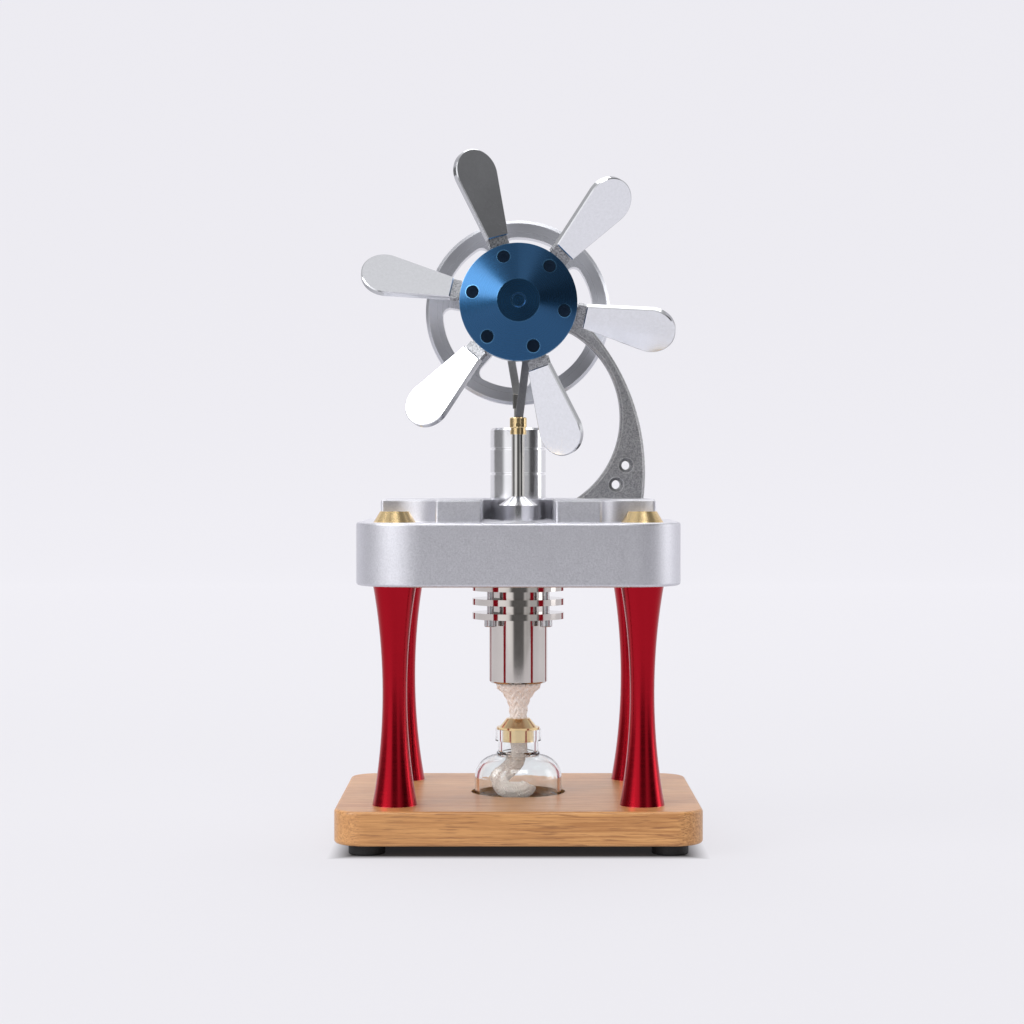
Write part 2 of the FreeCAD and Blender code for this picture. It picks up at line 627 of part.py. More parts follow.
def fan_hub():
    rim_front = -hub_rim_front
    body = rod_y(hub_rim_r, rim_front, carrier_front)
    body = body.fuse(cone_y(hub_nose_r, hub_rim_r, nose_front, rim_front)).removeSplitter()
    body = body.cut(cone_y(hub_dimple_r, hub_dimple_floor_r, nose_front, nose_front + hub_dimple_depth))
    cuts = [rod_y(hub_screw_r, carrier_front - hub_screw_length / 2, carrier_front + 1)]
    for k in range(blade_count):
        angle = blade_first_angle + k * 360.0 / blade_count
        tools = [blade_slab(tongue_inner_r, hub_rim_r + 1, tongue_width, tongue_thick, seat_gap),
                 rod_y(blade_recess_r, nose_front, blade_seat, blade_screw_circle_r),
                 rod_y(blade_screw_r + screw_gap, blade_seat - 1, carrier_front + 1,
                       blade_screw_circle_r)]
        cuts += [spun(tool, angle) for tool in tools]
    return body.cut(cuts)


def blade_slab(inner_r, outer_r, width, thick, gap):
    """Pitched slab along +X flush with the back of a blade, grown by a gap at its end and sides."""
    back = blade_thick / 2
    return pitched(block(inner_r - gap, outer_r, back - thick - gap, back + gap,
                         -width / 2 - gap, width / 2 + gap))


def pitched(shape):
    """Turned to the blade pitch about X and moved to the blade plane on the crank axis."""
    shape.rotate(V(0, 0, 0), V(1, 0, 0), blade_pitch_angle)
    shape.translate(V(0, blade_plane, crank_height))
    return shape


def tangent_point():
    """Where the straight side of a blade meets the round of its tip, upper side."""
    centre_x = blade_tip_r - blade_tip_round_r
    dx, dz = blade_root_r - centre_x, blade_root_width / 2
    reach = math.hypot(dx, dz)
    angle = math.atan2(dz, dx) - math.acos(blade_tip_round_r / reach)
    return centre_x + blade_tip_round_r * math.cos(angle), blade_tip_round_r * math.sin(angle)


def fan_blade(angle):
    """Pitched paddle with a stepped neck outside the hub and a tongue that the hub clamps."""
    half = blade_root_width / 2
    touch_x, touch_z = tangent_point()
    edges = [line((blade_root_r, -half), (touch_x, -touch_z)),
             arc((touch_x, -touch_z), (blade_tip_r, 0), (touch_x, touch_z)),
             line((touch_x, touch_z), (blade_root_r, half)),
             line((blade_root_r, half), (blade_root_r, -half))]
    plate = Part.Face(Part.Wire(edges)).extrude(V(0, blade_thick, 0))
    plate.translate(V(0, -blade_thick / 2, 0))
    rims = edges_at(plate, 1, -blade_thick / 2) + edges_at(plate, 1, blade_thick / 2)
    plate = pitched(plate.makeChamfer(blade_edge, rims))
    neck_r = hub_rim_r + neck_gap
    neck_width = blade_root_width - 2 * blade_edge
    neck = blade_slab(neck_r, blade_root_r + blade_thick, neck_width, tongue_thick, 0)
    tongue = blade_slab(tongue_inner_r, neck_r + blade_thick, tongue_width, tongue_thick, 0)
    hole = rod_y(blade_screw_r + screw_gap, blade_plane - tongue_width, blade_plane + tongue_width,
                 blade_screw_circle_r)
    return spun(plate.fuse([neck, tongue]).removeSplitter().cut(hole), angle)


def blade_screw(angle):
    low = blade_seat - blade_head_h
    head = rod_y(blade_head_r, low, blade_seat, blade_screw_circle_r)
    socket = rod_y(blade_head_r * socket_share, low - 1, low + blade_head_h / 2, blade_screw_circle_r)
    shank = rod_y(blade_screw_r, blade_seat, carrier_front + blade_screw_depth, blade_screw_circle_r)
    return spun(head.cut(socket).fuse(shank), angle)


def fan_carrier():
    """Disc behind the blades with the boss that reaches back to the front crank pin."""
    disc_back = carrier_front + carrier_disc_thick
    body = rod_y(carrier_disc_r, carrier_front, disc_back)
    body = body.fuse(cone_y(carrier_shoulder_r, web_r, disc_back, disc_back + carrier_shoulder))
    body = body.fuse(rod_y(web_r, disc_back, hub_back)).removeSplitter()
    cuts = [spun(rod_y(blade_screw_r, carrier_front - 1, carrier_front + blade_screw_depth + tip_gap,
                       blade_screw_circle_r), blade_first_angle + k * 360.0 / blade_count)
            for k in range(blade_count)]
    cuts.append(rod_y(hub_screw_r, carrier_front - 1, carrier_front + hub_screw_length / 2))
    return body.cut(cuts)


def hub_stud():
    return rod_y(hub_screw_r, carrier_front - hub_screw_length / 2, carrier_front + hub_screw_length / 2)


# ---- flywheel -----------------------------------------------------------------------
def wheel_window(angle):
    """Gap between two spokes, with rounded corners."""
    half_step = math.radians(180.0 / blade_count)
    reach, shift = wheel_r * 2, spoke_width / 2 / math.sin(half_step)
    wedge = Part.Face(Part.Wire(outline([
        (0, 0), (reach, 0), (reach * math.cos(2 * half_step), reach * math.sin(2 * half_step))])))
    wedge = wedge.extrude(V(0, wheel_thick + 2, 0))
    wedge.translate(V(shift * math.cos(half_step), rim_front - 1,
                      crank_height + shift * math.sin(half_step)))
    window = wedge.common(ring_y(wheel_bore_r, wheel_hub_r, rim_front - 1, rim_back + 1))
    window = window.makeFillet(window_corner_r, edges_along(window, BACK))
    return spun(window, angle)


def flywheel():
    """Spoked wheel on a long hub that reaches forward to the rear crank pin."""
    body = rod_y(wheel_r, rim_front, rim_back)
    body = body.makeChamfer(wheel_edge, edges_at(body, 1, rim_front) + edges_at(body, 1, rim_back))
    body = body.fuse(rod_y(wheel_hub_r, wheel_front, rim_back)).removeSplitter()
    cuts = [wheel_window(blade_first_angle + k * 360.0 / blade_count) for k in range(blade_count)]
    cuts.append(rod_y(wheel_screw_r, wheel_front - 1, rim_back + 1, power_pin_x, power_pin_z))
    cuts.append(rod_y(wheel_head_r + screw_gap, rim_back - wheel_head_h, rim_back + 1,
                      power_pin_x, power_pin_z))
    return body.cut(cuts)


def flywheel_screw():
    seat = rim_back - wheel_head_h
    head = rod_y(wheel_head_r, seat, rim_back, power_pin_x, power_pin_z)
    socket = rod_y(wheel_head_r * socket_share, rim_back - wheel_head_h / 2, rim_back + 1,
                   power_pin_x, power_pin_z)
    return head.cut(socket).fuse(rod_y(wheel_screw_r, wheel_front, seat, power_pin_x, power_pin_z))


# ---- spirit lamp --------------------------------------------------------------------
def bottle_side(shell):
    """Outer (shell 0) or inner (shell = wall) half outline of the bottle, up to its mouth."""
    body_r, throat_r = bottle_r - shell, neck_r - shell
    low = lamp_low + shell
    dome_high = neck_low - shell / 2
    bulge = (throat_r + (body_r - throat_r) * bottle_bulge_out,
             shoulder_z + (dome_high - shoulder_z) * bottle_bulge_up)
    return low, body_r, throat_r, dome_high, bulge


def bottle_solid(shell, top, lip):
    low, body_r, throat_r, dome_high, bulge = bottle_side(shell)
    edges = [line((0, low), (body_r - bottle_foot_round, low)),
             line((body_r - bottle_foot_round, low), (body_r, low + bottle_foot_round)),
             line((body_r, low + bottle_foot_round), (body_r, shoulder_z)),
             arc((body_r, shoulder_z), bulge, (throat_r, dome_high))]
    chain = [(throat_r, dome_high)]
    if lip:
        bead_r, bead_step = throat_r + bead_out, bead_height / 3
        chain += [(bead_r, dome_high + bead_step), (bead_r, dome_high + 2 * bead_step),
                  (throat_r, dome_high + bead_height), (throat_r, lip_low), (lip_r, lip_low), (lip_r, top)]
    else:
        chain += [(throat_r, top)]
    chain += [(0, top), (0, low)]
    edges += [line(chain[i], chain[i + 1]) for i in range(len(chain) - 1)]
    return turned(edges)


def lamp_bottle():
    return bottle_solid(0.0, lip_top, True).cut(bottle_solid(bottle_wall, lip_top + 1, False))


def lamp_collar():
    flange_high = lip_top + collar_flange_h
    body = rod_z(collar_flange_r, lip_top, flange_high)
    body = body.fuse([rod_z(collar_plug_r, lip_top - collar_plug_depth, lip_top),
                      cone_z(collar_cone_r, collar_cone_top_r, flange_high, collar_top)]).removeSplitter()
    return body.cut(rod_z(wick_r, lip_top - collar_plug_depth - 1, collar_top + 1))


def wick():
    """Cotton wick: flared tuft, straight throat, and a tail that bends onto the bottle's floor."""
    floor_z = lamp_low + bottle_wall + wick_r + wick_gap
    bend_z = floor_z + wick_bend_r
    turn = wick_bend_r * (1 - math.cos(math.radians(45)))
    path = Part.Wire([
        Part.LineSegment(V(0, 0, collar_top), V(0, 0, bend_z)).toShape(),
        Part.Arc(V(0, 0, bend_z), V(-turn, 0, floor_z + turn), V(-wick_bend_r, 0, floor_z)).toShape(),
        Part.LineSegment(V(-wick_bend_r, 0, floor_z), V(-wick_bend_r - wick_tail, 0, floor_z)).toShape()])
    section = Part.Wire([Part.makeCircle(wick_r, V(0, 0, collar_top), UP)])
    body = path.makePipeShell([section], True, False)
    height = wick_top - collar_top
    swell_z, edge_z = collar_top + height * wick_swell_share, collar_top + height * wick_edge_share
    tuft = turned([line((0, collar_top), (wick_r, collar_top)),
                   arc((wick_r, collar_top), (wick_r + wick_swell, swell_z), (wick_flare_r, edge_z)),
                   line((wick_flare_r, edge_z), (wick_flare_r - wick_edge, wick_top)),
                   line((wick_flare_r - wick_edge, wick_top), (0, wick_top)),
                   line((0, wick_top), (0, collar_top))])
    return body.fuse(tuft).removeSplitter()


# ---- the nodes ----------------------------------------------------------------------
def front_rear(y):
    return "front" if y < 0 else "rear"


def left_right(x):
    return "left" if x < 0 else "right"


def build():
    nodes = {
        "base_board": base_board(),
        "rubber_feet": group([rubber_foot(x, y) for x, y in foot_places]),
        "foot_screws": group([foot_screw(x, y) for x, y in foot_places]),
        "post_screws": group([post_screw(x, y) for x, y in post_places]),
        "post_studs": group([post_stud(x, y) for x, y in post_places]),
        "cone_nuts": group([cone_nut(x, y) for x, y in post_places]),
        "platform": platform(),
        "flange_gasket": flange_gasket(),
        "cooling_flange": cooling_flange(),
        "hot_cap": hot_cap(),
        "flange_screws": group([flange_screw(x, y) for x, y in flange_screw_places]),
        "displacer_can": displacer_can(),
        "displacer_lid": displacer_lid(),
        "displacer_rod": displacer_rod(),
        "displacer_clevis": displacer_clevis(),
        "clevis_pin": clevis_pin(),
        "gland": gland(),
        "gland_bush": gland_bush(),
        "power_cylinder": power_cylinder(),
        "power_piston": power_piston(),
        "piston_fork": piston_fork(),
        "wrist_pin": wrist_pin(),
        "displacer_conrod": conrod(clevis_pin_z, displacer_pin_x, displacer_pin_z, 0),
        "displacer_conrod_bush": rod_bush(displacer_pin_x, displacer_pin_z, 0),
        "displacer_crank_pin": rod_y(crank_pin_r, hub_back + pin_end_gap, web_front_front - pin_end_gap,
                                     displacer_pin_x, displacer_pin_z),
        "power_conrod": conrod(wrist_pin_z, power_pin_x, power_pin_z, power_y),
        "power_conrod_bush": rod_bush(power_pin_x, power_pin_z, power_y),
        "power_crank_pin": rod_y(crank_pin_r, rear_web_back + pin_end_gap, wheel_front - pin_end_gap,
                                 power_pin_x, power_pin_z),
        "bearing_bracket": bearing_bracket(),
        "bracket_screws": group([bracket_screw(x, y) for x, y in bracket_screw_places]),
        "bearing_spacer": ring_y(bearing_r, race_outer_r, bracket_front + bearing_width,
                                 bracket_back - bearing_width),
        "main_shaft": rod_y(shaft_r, web_front_front, rear_web_back),
        "front_web": crank_web(web_front_front, web_front_back),
        "rear_web": crank_web(rear_web_front, rear_web_back),
        "fan_hub": fan_hub(),
        "fan_carrier": fan_carrier(),
        "hub_stud": hub_stud(),
        "flywheel": flywheel(),
        "flywheel_screw": flywheel_screw(),
        "lamp_bottle": lamp_bottle(),
        "lamp_collar": lamp_collar(),
        "wick": wick(),
    }
    for x, y in post_places:
        nodes["post_%s_%s" % (front_rear(y), left_right(x))] = post(x, y)
    for end, front in (("front", bracket_front), ("rear", bracket_back - bearing_width)):
        nodes[end + "_bearing_outer_race"] = outer_race(front)
        nodes[end + "_bearing_inner_race"] = inner_race(front)
        nodes[end + "_bearing_balls"] = race_balls(front)
    angles = [blade_first_angle + k * 360.0 / blade_count for k in range(blade_count)]
    for k, angle in enumerate(angles):
        nodes["fan_blade_%d" % (k + 1)] = fan_blade(angle)
    nodes["blade_screws"] = group([blade_screw(angle) for angle in angles])
    return nodes


os.makedirs("parts", exist_ok=True)
for name, shape in build().items():
    shape.exportStep("parts/%s.step" % name)
    print("%-24s solids %d  volume %.1f  valid %s"
          % (name, len(shape.Solids), shape.Volume, shape.isValid()))
print("displacer slide %.3f..%.3f" % (displacer_rise, displacer_rise + 2 * crank_throw))
print("power slide %.3f..%.3f" % (power_rise, power_rise + 2 * crank_throw))
print("clevis pin z %.3f, wrist pin z %.3f" % (clevis_pin_z, wrist_pin_z))
print("cap low %.2f, displacer low %.2f, piston %.2f..%.2f"
      % (cap_low, displacer_low, piston_low, piston_top))
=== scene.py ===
"""Stirling engine model: camera, materials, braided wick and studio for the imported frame. Metres, +Z up."""
import json
import math

import bmesh
import bpy
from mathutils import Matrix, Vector


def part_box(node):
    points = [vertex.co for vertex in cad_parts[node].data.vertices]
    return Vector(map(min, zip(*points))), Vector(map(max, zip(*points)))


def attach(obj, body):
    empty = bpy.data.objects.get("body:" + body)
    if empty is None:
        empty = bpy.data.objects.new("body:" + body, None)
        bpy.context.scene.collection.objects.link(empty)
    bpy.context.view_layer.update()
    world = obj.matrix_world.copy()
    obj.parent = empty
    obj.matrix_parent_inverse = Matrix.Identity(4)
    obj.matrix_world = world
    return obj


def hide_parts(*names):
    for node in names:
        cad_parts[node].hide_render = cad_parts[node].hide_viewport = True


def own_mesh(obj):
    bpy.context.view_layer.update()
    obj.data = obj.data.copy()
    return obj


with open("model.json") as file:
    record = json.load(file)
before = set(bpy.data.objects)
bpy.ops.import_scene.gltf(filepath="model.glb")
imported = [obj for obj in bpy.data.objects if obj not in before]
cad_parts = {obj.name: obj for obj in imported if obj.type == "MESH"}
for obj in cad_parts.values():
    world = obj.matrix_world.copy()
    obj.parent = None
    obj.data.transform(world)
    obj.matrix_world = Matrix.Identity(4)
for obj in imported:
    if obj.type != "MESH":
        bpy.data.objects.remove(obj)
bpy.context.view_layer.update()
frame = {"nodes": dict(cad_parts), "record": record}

nodes = frame["nodes"]
MM = 0.001
MICRON = 0.001 * MM

# ---- places taken from the frame ----------------------------------------------------
hub_low, hub_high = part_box("fan_hub")
CRANK = (hub_low + hub_high) / 2          # a point on the crankshaft's axis
HUB_R = (hub_high.z - hub_low.z) / 2
MIDDLE = (0.0, 0.0, 0.0)                  # a point on the engine's upright axis

# ---- camera -------------------------------------------------------------------------
LENS, SENSOR = 84.13, 36.0                # millimetres
CAMERA_PLACE = (-0.0023, -0.8863, 0.1335)
CAMERA_DIP = math.radians(0.886)

# ---- studio -------------------------------------------------------------------------
PAPER_GLOW, BACKDROP_GLOW = 0.86, 0.985   # light given off by the floor near the engine and by the backdrop
GLOW_NEAR, GLOW_FAR = 0.3, 2.4            # distances behind the engine between which the glow changes
FLOOR_FRONT, BEND_START, BEND_R = -0.72, 2.0, 1.2
BEND_STEPS = 24
BACKDROP_TOP, HALF_WIDTH = 4.0, 5.0
# Painted shadow under the board: the paper's glow is cut down inside these limits.
SHADE_INNER, SHADE_EDGE, SHADE_END = 0.90, 1.03, 1.45     # where the shade changes, in half boards
SHADE_DARK, SHADE_MID = 0.02, 0.80                        # share of the glow left at inner limit and edge
ROOM_TINT = (0.985, 0.985, 1.0, 1)
ROOM_GREY = 0.66
ROOM_PATCHES = (          # degrees right of the front, degrees up, inner and outer radius, grey
    (-44, 11, 12, 35, 1.15),
    (-100, -8, 26, 46, 0.22),
    (2, -2, 15, 26, 0.13),
    (0, 62, 12, 30, 0.42),
    (60, 30, 20, 38, 0.21),
    (70, 0, 16, 30, 0.07),
    (29, 68, 6, 14, 0.75),
    (38, -4, 6, 12, 0.55),
    (100, 4, 12, 24, 1.1),
)
LIGHT_TARGET = (0, 0, 0.13)
LIGHTS = (                # name, place, width and height, watts
    ("key_left", (-1.35, -0.75, 0.95), (1.1, 1.1), 15),
    ("top", (0.0, 0.75, 1.6), (1.6, 1.2), 14),
    ("side_right", (1.6, 0.25, 0.35), (0.5, 1.2), 3),
    ("front_high", (0.1, -1.4, 1.7), (1.6, 0.7), 14),
)


def make_camera():
    """The photo's camera: a long lens a little above the platform, looking slightly down."""
    data = bpy.data.cameras.new("camera")
    data.lens, data.sensor_width = LENS, SENSOR
    data.clip_start, data.clip_end = 0.05, 50.0
    camera = bpy.data.objects.new("camera", data)
    camera.location = CAMERA_PLACE
    camera.rotation_euler = (math.pi / 2 - CAMERA_DIP, 0, 0)
    bpy.context.scene.collection.objects.link(camera)
    bpy.context.scene.camera = camera


# ---- material helpers ---------------------------------------------------------------
class Shader:
    """A Principled material under construction, with short calls for its usual nodes."""

    def __init__(self, name, color, metallic=0.0, roughness=0.5, **sockets):
        self.material = bpy.data.materials.new(name)
        self.material.use_nodes = True
        self.tree = self.material.node_tree
        self.bsdf = self.tree.nodes["Principled BSDF"]
        self.bsdf.inputs["Base Color"].default_value = (*color, 1)
        self.bsdf.inputs["Metallic"].default_value = metallic
        self.bsdf.inputs["Roughness"].default_value = roughness
        for socket, value in sockets.items():
            self.bsdf.inputs[socket.replace("_", " ")].default_value = value
        self.place = self.tree.nodes.new("ShaderNodeTexCoord").outputs["Object"]
        self.height = None

    def link(self, source, target):
        self.tree.links.new(source, target)

    def set(self, node, values):
        for key, value in values.items():
            if hasattr(value, "is_output"):
                self.link(value, node.inputs[key])
            else:
                node.inputs[key].default_value = value

    def scaled(self, scale):
        """Object coordinates in metres, times a scale on each axis."""
        node = self.tree.nodes.new("ShaderNodeMapping")
        self.set(node, {"Vector": self.place, "Scale": scale})
        return node.outputs["Vector"]

    def component(self, vector, axis):
        """The X, Y or Z of a vector."""
        node = self.tree.nodes.new("ShaderNodeSeparateXYZ")
        self.link(vector, node.inputs[0])
        return node.outputs[axis]

    def vector(self, kind, a, b=None):
        """A vector sum of one or two vectors; either may be a constant."""
        node = self.tree.nodes.new("ShaderNodeVectorMath")
        node.operation = kind
        self.set(node, {0: a} if b is None else {0: a, 1: b})
        return node.outputs["Value" if kind in ("DOT_PRODUCT", "LENGTH") else "Vector"]

    def normal(self):
        """The direction the surface faces."""
        return self.tree.nodes.new("ShaderNodeNewGeometry").outputs["Normal"]

    def noise(self, scale, detail=4.0, rough=0.6, stretch=(1, 1, 1)):
        node = self.tree.nodes.new("ShaderNodeTexNoise")
        self.set(node, {"Vector": self.scaled(stretch), "Scale": scale, "Detail": detail, "Roughness": rough})
        return node.outputs["Fac"]

    def cells(self, scale, stretch=(1, 1, 1)):
        node = self.tree.nodes.new("ShaderNodeTexVoronoi")
        self.set(node, {"Vector": self.scaled(stretch), "Scale": scale})
        return node.outputs["Distance"]

    def math(self, kind, a, b=0.0):
        node = self.tree.nodes.new("ShaderNodeMath")
        node.operation = kind
        self.set(node, {0: a, 1: b})
        return node.outputs[0]

    def span(self, value, low, high, out_low=0.0, out_high=1.0):
        node = self.tree.nodes.new("ShaderNodeMapRange")
        self.set(node, {"Value": value, "From Min": low, "From Max": high,
                        "To Min": out_low, "To Max": out_high})
        return node.outputs["Result"]

    def mix(self, factor, a, b):
        node = self.tree.nodes.new("ShaderNodeMix")
        node.data_type = "RGBA"
        for key, value in ((0, factor), (6, a), (7, b)):
            if hasattr(value, "is_output"):
                self.link(value, node.inputs[key])
            elif key:
                node.inputs[key].default_value = (*value, 1)
            else:
                node.inputs[key].default_value = value
        return node.outputs[2]

    def color(self, output):
        self.link(output, self.bsdf.inputs["Base Color"])

    def rough(self, output):
        self.link(output, self.bsdf.inputs["Roughness"])

    def coat(self, weight, roughness):
        self.bsdf.inputs["Coat Weight"].default_value = weight
        self.bsdf.inputs["Coat Roughness"].default_value = roughness

    def bump(self, height, distance, strength=1.0):
        node = self.tree.nodes.new("ShaderNodeBump")
        self.set(node, {"Height": height, "Distance": distance, "Strength": strength})
        if self.height is not None:
            self.link(self.height, node.inputs["Normal"])
        self.height = node.outputs["Normal"]
        self.link(self.height, self.bsdf.inputs["Normal"])

    def painted_edge_highlight(self, base, highlight_colour, radius=0.6 * MM):
        """A painted highlight: a brighter colour along sharp edges, standing in for the light a small chamfer
        would catch.
        """
        bevel = self.tree.nodes.new("ShaderNodeBevel")
        bevel.inputs["Radius"].default_value = radius
        flatness = self.vector("DOT_PRODUCT", bevel.outputs["Normal"], self.normal())
        return self.mix(self.span(flatness, 0.98, 0.85), base, highlight_colour)

    def radius_about(self, axis, centre):
        """Distance of a point from a line along axis X, Y or Z through a centre."""
        across = tuple(0.0 if letter == axis else 1.0 for letter in "XYZ")
        offset = self.vector("SUBTRACT", self.place, centre)
        return self.vector("LENGTH", self.vector("MULTIPLY", offset, across))

    def turning(self, axis, centre, pitch, depth):
        """Fine lathe lines: rings on a face, and hoops along the axis."""
        reach = self.math("ADD", self.radius_about(axis, centre), self.component(self.place, axis))
        combine = self.tree.nodes.new("ShaderNodeCombineXYZ")
        self.link(reach, combine.inputs[0])
        lines = self.tree.nodes.new("ShaderNodeTexNoise")
        self.set(lines, {"Vector": combine.outputs[0], "Scale": 1.0 / pitch, "Detail": 3.0})
        self.bump(lines.outputs["Fac"], depth, 0.7)
        return lines.outputs["Fac"]

    def spun_gloss(self, axis, amount):
        """Stretched highlights of a turned surface."""
        tangent = self.tree.nodes.new("ShaderNodeTangent")
        tangent.direction_type, tangent.axis = "RADIAL", axis
        self.link(tangent.outputs[0], self.bsdf.inputs["Tangent"])
        self.bsdf.inputs["Anisotropic"].default_value = amount


# ---- materials ----------------------------------------------------------------------
def bamboo():
    s = Shader("bamboo", (0.72, 0.50, 0.30), roughness=0.42)
    fibre = s.noise(1100, 7, 0.7, (0.03, 1, 1))
    band = s.noise(70, 4, 0.6, (0.12, 1, 1))
    fleck = s.noise(2300, 2, 0.5, (0.05, 1, 1))
    strip = s.cells(9, (0.2, 6.0, 0.5))
    wood = s.mix(s.span(band, 0.35, 0.65), (0.50, 0.215, 0.062), (0.65, 0.325, 0.112))
    wood = s.mix(s.span(fibre, 0.40, 0.62, 0.0, 0.85), wood, (0.34, 0.125, 0.028))
    wood = s.mix(s.span(fleck, 0.55, 0.68, 0.0, 0.85), wood, (0.24, 0.085, 0.022))
    wood = s.mix(s.span(strip, 0.25, 0.6, 0.0, 0.25), wood, (0.74, 0.42, 0.17))
    s.color(wood)
    s.rough(s.span(fibre, 0.3, 0.7, 0.36, 0.52))
    s.bump(fibre, 40 * MICRON, 0.5)
    s.coat(0.35, 0.25)
    return s.material


def black_rubber():
    s = Shader("black_rubber", (0.012, 0.012, 0.012), roughness=0.65)
    grain = s.noise(2500, 3)
    s.color(s.mix(grain, (0.008, 0.008, 0.008), (0.022, 0.022, 0.023)))
    s.bump(grain, 30 * MICRON, 0.6)
    return s.material


def red_anodised():
    s = Shader("red_anodised", (0.42, 0.01, 0.03), metallic=1.0, roughness=0.27)
    tone = s.noise(120, 2, 0.5, (1, 1, 0.1))
    base = s.mix(tone, (0.34, 0.006, 0.014), (0.42, 0.010, 0.021))
    # Painted highlight: a lighter red along the sharp edges.
    s.color(s.painted_edge_highlight(base, (0.75, 0.12, 0.14), 0.3 * MM))
    lines = s.noise(1500, 3, 0.6, (0.02, 0.02, 1))
    s.rough(s.span(lines, 0.3, 0.7, 0.17, 0.24))
    s.spun_gloss("Z", 0.2)
    return s.material


def blasted(name, low, high, scale, depth, roughness, highlight_colour):
    """Blasted metal: fine pits of a given scale and depth, with a painted highlight along its edges."""
    s = Shader(name, high, metallic=1.0, roughness=roughness)
    pits = s.noise(scale, 5, 0.7)
    patch = s.noise(scale / 14, 3, 0.6)
    base = s.mix(s.span(pits, 0.32, 0.68), low, high)
    base = s.mix(s.span(patch, 0.3, 0.7, 0.0, 0.18), base, low)
    # Painted highlight: the brighter edge colour along sharp edges.
    s.color(s.painted_edge_highlight(base, highlight_colour))
    s.rough(s.span(pits, 0.3, 0.7, roughness - 0.06, roughness + 0.08))
    s.bump(pits, depth, 0.8)
    return s.material


def turned_metal(name, color, roughness, axis, centre, shine, highlight_colour=None,
                 pitch=220 * MICRON, depth=4 * MICRON, coat=(0.0, 0.0)):
    """Lathe-turned metal about an axis: fine rings, stretched gloss, a painted highlight along its edges,
    maybe a clear coat.
    """
    s = Shader(name, color, metallic=1.0, roughness=roughness)
    lines = s.turning(axis, centre, pitch, depth)
    dark = tuple(0.86 * c for c in color)
    base = s.mix(s.span(lines, 0.3, 0.7), dark, color)
    # Painted highlight: the edge colour, brighter than the metal, along sharp edges.
    s.color(s.painted_edge_highlight(base, highlight_colour or tuple(min(1.0, 1.2 * c) for c in color)))
    s.rough(s.span(lines, 0.3, 0.7, roughness * 0.8, roughness * 1.25))
    s.spun_gloss(axis, shine)
    s.coat(*coat)
    return s.material


def polished(name, color, roughness):
    """Polished metal with faint buffing marks and a slight haze."""
    s = Shader(name, color, metallic=1.0, roughness=roughness)
    haze = s.noise(90, 4, 0.6)
    marks = s.noise(1400, 3, 0.6, (1, 1, 0.08))
    s.color(s.mix(s.span(haze, 0.3, 0.7), tuple(0.93 * c for c in color), color))
    s.rough(s.span(haze, 0.3, 0.7, roughness * 0.7, roughness * 1.4))
    s.bump(marks, 4 * MICRON, 0.5)
    return s.material


def blade_metal():
    """Polished blades with faint mottling, greyer cut edges, and a milled neck at the hub that is rougher and
    darkened with painted shade.
    """
    neck_end, neck_fade = HUB_R + 3.4 * MM, 0.2 * MM
    color = (0.86, 0.87, 0.905)
    s = Shader("polished_aluminium", color, metallic=1.0, roughness=0.12)
    haze = s.noise(90, 4, 0.6)
    mottle = s.noise(900, 4, 0.7)
    base = s.mix(s.span(mottle, 0.3, 0.7), (0.80, 0.81, 0.84), color)
    milled = s.noise(2500, 3, 0.6, (1, 0.05, 1))
    # Painted shade: the neck near the hub gets a dark colour for the shade it sits in there.
    neck_painted_shade = s.mix(s.span(milled, 0.35, 0.65), (0.13, 0.13, 0.14), (0.48, 0.49, 0.51))
    reach = s.radius_about("Y", CRANK)
    facing = s.math("ABSOLUTE", s.component(s.normal(), "Y"))
    blade = s.mix(s.span(facing, 0.45, 0.75), (0.40, 0.405, 0.42), base)
    s.color(s.mix(s.span(reach, neck_end, neck_end + neck_fade), neck_painted_shade, blade))
    gloss = s.span(haze, 0.3, 0.7, 0.09, 0.17)
    s.rough(s.math("MAXIMUM", gloss, s.span(reach, neck_end, neck_end + neck_fade, 0.42, 0.0)))
    s.bump(mottle, 5 * MICRON, 0.5)
    return s.material


def graphite():
    s = Shader("graphite", (0.05, 0.05, 0.055), metallic=0.3, roughness=0.45)
    grain = s.noise(3000, 3)
    s.color(s.mix(grain, (0.035, 0.035, 0.04), (0.07, 0.07, 0.075)))
    s.bump(grain, 10 * MICRON, 0.6)
    return s.material


def gasket():
    s = Shader("gasket", (0.42, 0.33, 0.25), roughness=0.8)
    fibre = s.noise(1800, 5, 0.7)
    s.color(s.mix(fibre, (0.30, 0.22, 0.15), (0.52, 0.42, 0.33)))
    s.bump(fibre, 40 * MICRON, 0.8)
    return s.material


def clear_glass():
    s = Shader("clear_glass", (0.97, 0.985, 0.98), roughness=0.0, IOR=1.47, Transmission_Weight=1.0)
    wave = s.noise(70, 2, 0.4)
    s.color(s.mix(wave, (0.955, 0.98, 0.975), (0.985, 0.995, 0.99)))
    s.bump(wave, 80 * MICRON, 0.25)
    return s.material


def cotton():
    # Painted light: a faint glow (emission) brightens the wick, most of all the tail inside the bottle, where
    # the glass keeps the lamps' light off it.
    s = Shader("cotton", (0.88, 0.82, 0.77), roughness=0.9, Sheen_Weight=0.4,
               Emission_Color=(1.0, 0.90, 0.84, 1), Emission_Strength=0.10)
    twist = s.noise(3800, 3, 0.6, (1, 1, 0.3))
    stain = s.noise(160, 3, 0.6)
    base = s.mix(twist, (0.80, 0.70, 0.63), (0.96, 0.93, 0.90))
    s.color(s.mix(s.span(stain, 0.4, 0.7, 0.0, 0.4), base, (0.88, 0.70, 0.60)))
    s.bump(twist, 80 * MICRON, 0.8)
    return s.material


